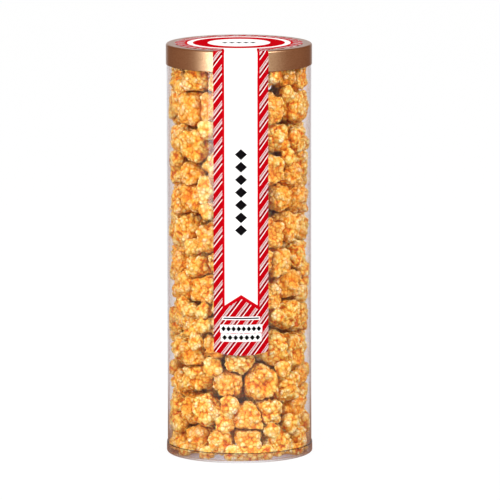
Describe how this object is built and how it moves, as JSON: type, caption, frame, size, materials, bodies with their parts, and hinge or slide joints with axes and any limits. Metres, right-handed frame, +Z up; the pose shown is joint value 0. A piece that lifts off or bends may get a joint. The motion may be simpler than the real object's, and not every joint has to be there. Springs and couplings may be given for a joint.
{
  "type": "gift tube",
  "caption": "Clear round tube of coated popcorn with a slip-on gold metal lid, a clear base cap and a striped paper label folded over the lid.",
  "frame": {"origin": "middle of the base cap's flat underside", "axes": "+Z up along the tube's axis, -Y towards the front, where the label's strip is, +X to the right of someone who faces the label"},
  "size_m": [0.09, 0.0902, 0.2544],
  "materials": {
    "clear_plastic": "clear rigid film, smooth and glossy",
    "satin_gold": "thin drawn sheet metal with a satin gold lacquer",
    "label_paper": "coated label paper printed with red and white candy stripes round a white panel",
    "coated_popcorn": null
  },
  "bodies": {
    "tube": {"clear_tube": "clear_plastic", "base_cap": "clear_plastic", "popcorn_01": "coated_popcorn", "popcorn_02": "coated_popcorn", "popcorn_03": "coated_popcorn", "popcorn_04": "coated_popcorn", "popcorn_05": "coated_popcorn", "popcorn_06": "coated_popcorn", "popcorn_07": "coated_popcorn", "popcorn_08": "coated_popcorn", "popcorn_09": "coated_popcorn", "popcorn_10": "coated_popcorn", "popcorn_11": "coated_popcorn", "popcorn_12": "coated_popcorn", "popcorn_13": "coated_popcorn", "popcorn_14": "coated_popcorn", "popcorn_15": "coated_popcorn", "popcorn_16": "coated_popcorn", "popcorn_17": "coated_popcorn", "popcorn_18": "coated_popcorn", "popcorn_19": "coated_popcorn", "popcorn_20": "coated_popcorn", "popcorn_21": "coated_popcorn", "popcorn_22": "coated_popcorn", "popcorn_23": "coated_popcorn", "popcorn_24": "coated_popcorn", "popcorn_25": "coated_popcorn", "popcorn_26": "coated_popcorn", "popcorn_27": "coated_popcorn", "popcorn_28": "coated_popcorn", "popcorn_29": "coated_popcorn", "popcorn_30": "coated_popcorn", "popcorn_31": "coated_popcorn", "popcorn_32": "coated_popcorn", "popcorn_33": "coated_popcorn", "popcorn_34": "coated_popcorn", "popcorn_35": "coated_popcorn", "popcorn_36": "coated_popcorn", "popcorn_37": "coated_popcorn", "popcorn_38": "coated_popcorn", "popcorn_39": "coated_popcorn", "popcorn_40": "coated_popcorn", "popcorn_41": "coated_popcorn", "popcorn_42": "coated_popcorn", "popcorn_43": "coated_popcorn", "popcorn_44": "coated_popcorn", "popcorn_45": "coated_popcorn", "popcorn_46": "coated_popcorn", "popcorn_47": "coated_popcorn", "popcorn_48": "coated_popcorn", "popcorn_49": "coated_popcorn", "popcorn_50": "coated_popcorn", "popcorn_51": "coated_popcorn", "popcorn_52": "coated_popcorn"},
    "lid": {"lid": "satin_gold", "label": "label_paper"}
  },
  "joints": [
    {"name": "lid_lift", "type": "slide", "parent": "tube", "child": "lid", "axis": [0, 0, 1], "range_m": [0, 0.03]}
  ]
}
